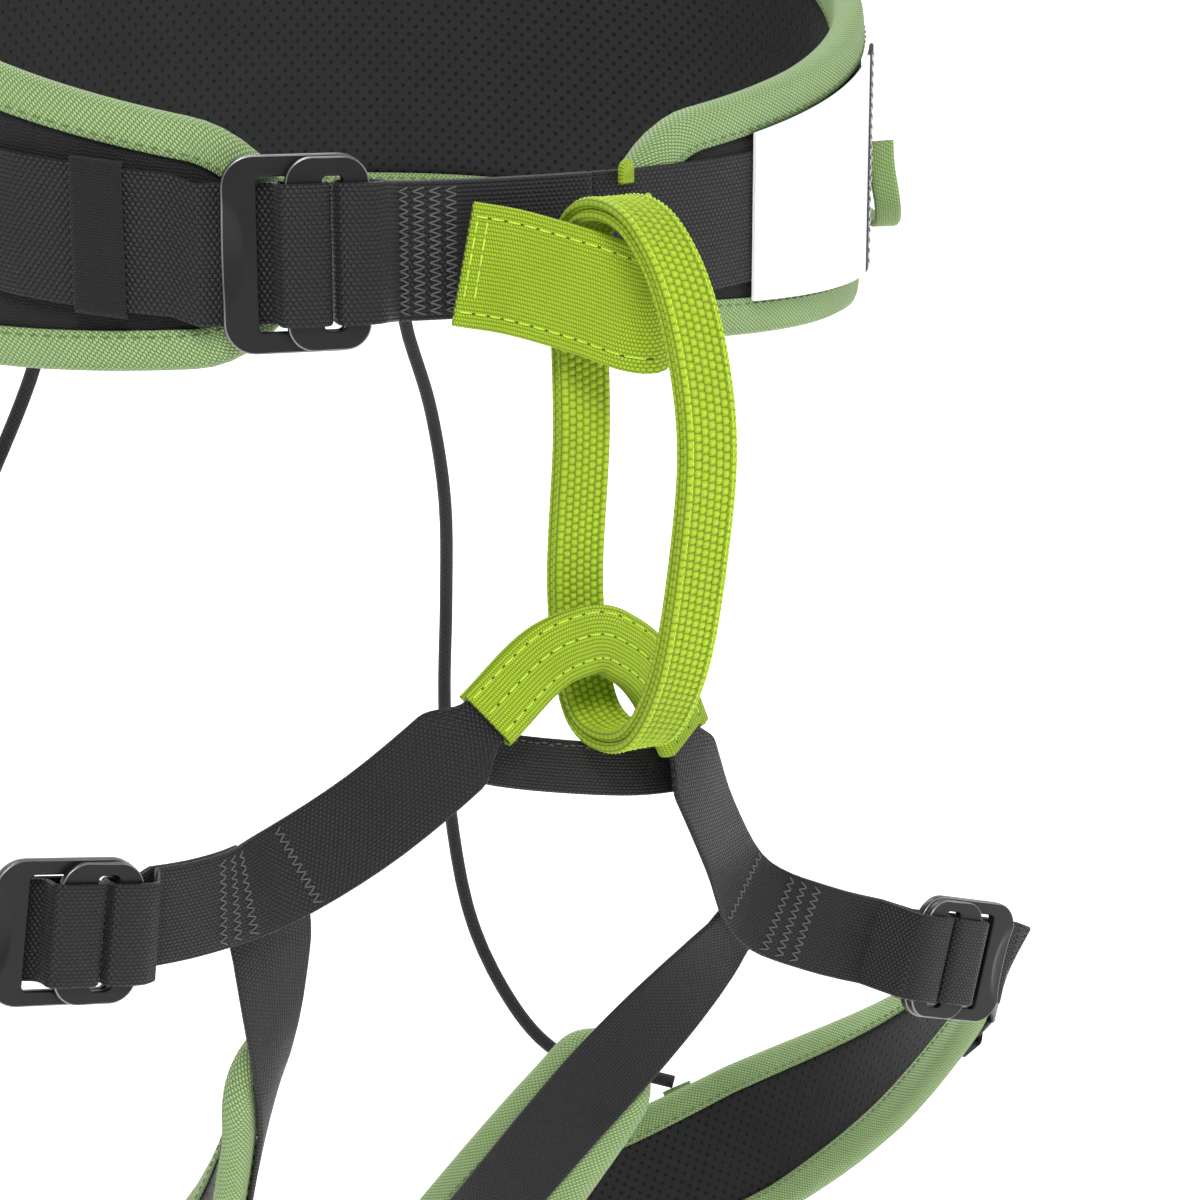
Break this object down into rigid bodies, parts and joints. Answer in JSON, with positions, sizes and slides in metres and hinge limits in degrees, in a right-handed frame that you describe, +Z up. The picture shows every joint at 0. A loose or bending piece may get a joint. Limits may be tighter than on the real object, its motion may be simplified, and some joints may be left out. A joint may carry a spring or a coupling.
{
  "type": "climbing saddle",
  "caption": "Padded sit saddle with a buckled waist belt, two adjustable leg loops, a vertical belay loop and tie-in straps.",
  "frame": {"origin": "middle of the waist opening, 5 mm above the middle of the belt's webbing in front", "axes": "+X to the wearer's left, -Y to the front, +Z up through the waist opening"},
  "size_m": [0.4609, 0.3061, 0.5491],
  "materials": {
    "black_webbing": "woven polyamide webbing, matt black",
    "lime_webbing": "ribbed lime green load webbing with stitched rows",
    "sage_tape": "herringbone binding tape, sage green",
    "pad_liner": "perforated charcoal lining",
    "pad_shell": "fine charcoal outer cloth",
    "foam": "closed cell foam",
    "buckle_metal": "black anodised, softly polished edges",
    "elastic": "black ribbed elastic",
    "riser_cord": "braided black elastic cord",
    "label_film": "blank white film label",
    "label_trim": "grey tape with light stitches"
  },
  "bodies": {
    "waist": {"waist_pad_liner": "pad_liner", "waist_pad_foam": "foam", "waist_pad_shell": "pad_shell", "waist_pad_binding": "sage_tape", "waist_belt": "black_webbing", "waist_belt_tail": "black_webbing", "waist_front_strap": "black_webbing", "waist_keeper": "elastic", "label_panel": "label_film", "label_edge": "label_trim", "waist_tie_in": "lime_webbing", "tie_in_nub": "lime_webbing", "leg_tie_in_webbing": "black_webbing", "leg_tie_in_sleeve": "lime_webbing", "cross_strap": "black_webbing", "riser_anchor_left": "black_webbing", "riser_anchor_right": "black_webbing", "riser_left": "riser_cord", "riser_right": "riser_cord"},
    "leg_left": {"leg_front_strap_left": "black_webbing", "leg_band_left": "black_webbing", "leg_pad_liner_left": "pad_liner", "leg_pad_foam_left": "foam", "leg_pad_shell_left": "pad_shell", "leg_pad_binding_left": "sage_tape", "leg_keeper_left": "elastic", "riser_tab_left": "sage_tape"},
    "leg_right": {"leg_front_strap_right": "black_webbing", "leg_band_right": "black_webbing", "leg_pad_liner_right": "pad_liner", "leg_pad_foam_right": "foam", "leg_pad_shell_right": "pad_shell", "leg_pad_binding_right": "sage_tape", "leg_keeper_right": "elastic", "riser_tab_right": "sage_tape"},
    "leg_buckle_left": {"leg_buckle_frame_left": "buckle_metal", "leg_buckle_slider_left": "buckle_metal", "leg_buckle_wrap_left": "black_webbing"},
    "leg_buckle_right": {"leg_buckle_frame_right": "buckle_metal", "leg_buckle_slider_right": "buckle_metal", "leg_buckle_wrap_right": "black_webbing"},
    "waist_buckle": {"waist_buckle_frame": "buckle_metal", "waist_buckle_slider": "buckle_metal", "waist_buckle_wrap": "black_webbing"},
    "belay_loop": {"belay_loop_outer": "lime_webbing", "belay_loop_inner": "lime_webbing"},
    "gear_loop_left_front": {"gear_loop_left_front": "sage_tape"},
    "gear_loop_left_rear": {"gear_loop_left_rear": "sage_tape"},
    "gear_loop_right_front": {"gear_loop_right_front": "sage_tape"},
    "gear_loop_right_rear": {"gear_loop_right_rear": "sage_tape"}
  },
  "joints": [
    {"name": "belay_loop_swing", "type": "hinge", "parent": "waist", "child": "belay_loop", "pos_m": [0, -0.145, -0.004], "axis": [1, 0, 0], "range_deg": [-1.5, 4]},
    {"name": "leg_left_swing", "type": "hinge", "parent": "waist", "child": "leg_left", "pos_m": [0.03659, -0.13035, -0.17381], "axis": [-0.9744, 0, 0.225], "range_deg": [-8, 20], "stiffness_Nm_per_rad": 2, "deforming": ["riser_left"]},
    {"name": "leg_right_swing", "type": "hinge", "parent": "waist", "child": "leg_right", "pos_m": [-0.06173, -0.13035, -0.15111], "axis": [-0.9744, 0, 0.225], "range_deg": [-8, 20], "stiffness_Nm_per_rad": 2, "deforming": ["riser_right"]},
    {"name": "waist_buckle_tilt", "type": "hinge", "parent": "waist", "child": "waist_buckle", "pos_m": [-0.06737, -0.10688, -0.00293], "axis": [0, 0, 1], "range_deg": [0, 10]},
    {"name": "leg_buckle_left_tilt", "type": "hinge", "parent": "leg_left", "child": "leg_buckle_left", "pos_m": [0.11483, -0.14111, -0.23847], "axis": [-0.2891, -0.0542, -0.9558], "range_deg": [0, 10]},
    {"name": "leg_buckle_right_tilt", "type": "hinge", "parent": "leg_right", "child": "leg_buckle_right", "pos_m": [-0.1604, -0.14111, -0.17493], "axis": [0.1592, 0.0542, 0.9858], "range_deg": [0, 10]},
    {"name": "gear_loop_left_front_lift", "type": "hinge", "parent": "waist", "child": "gear_loop_left_front", "pos_m": [0.17077, -0.01581, 0.0178], "axis": [-0.1884, -0.9609, -0.2032], "range_deg": [0, 55]},
    {"name": "gear_loop_left_rear_lift", "type": "hinge", "parent": "waist", "child": "gear_loop_left_rear", "pos_m": [0.14717, 0.06054, 0.03527], "axis": [0.6871, -0.7045, -0.1779], "range_deg": [0, 55]},
    {"name": "gear_loop_right_front_lift", "type": "hinge", "parent": "waist", "child": "gear_loop_right_front", "pos_m": [-0.17077, -0.01581, 0.0178], "axis": [-0.1884, 0.9609, 0.2032], "range_deg": [0, 55]},
    {"name": "gear_loop_right_rear_lift", "type": "hinge", "parent": "waist", "child": "gear_loop_right_rear", "pos_m": [-0.14717, 0.06054, 0.03527], "axis": [0.6871, 0.7045, 0.1779], "range_deg": [0, 55]}
  ]
}
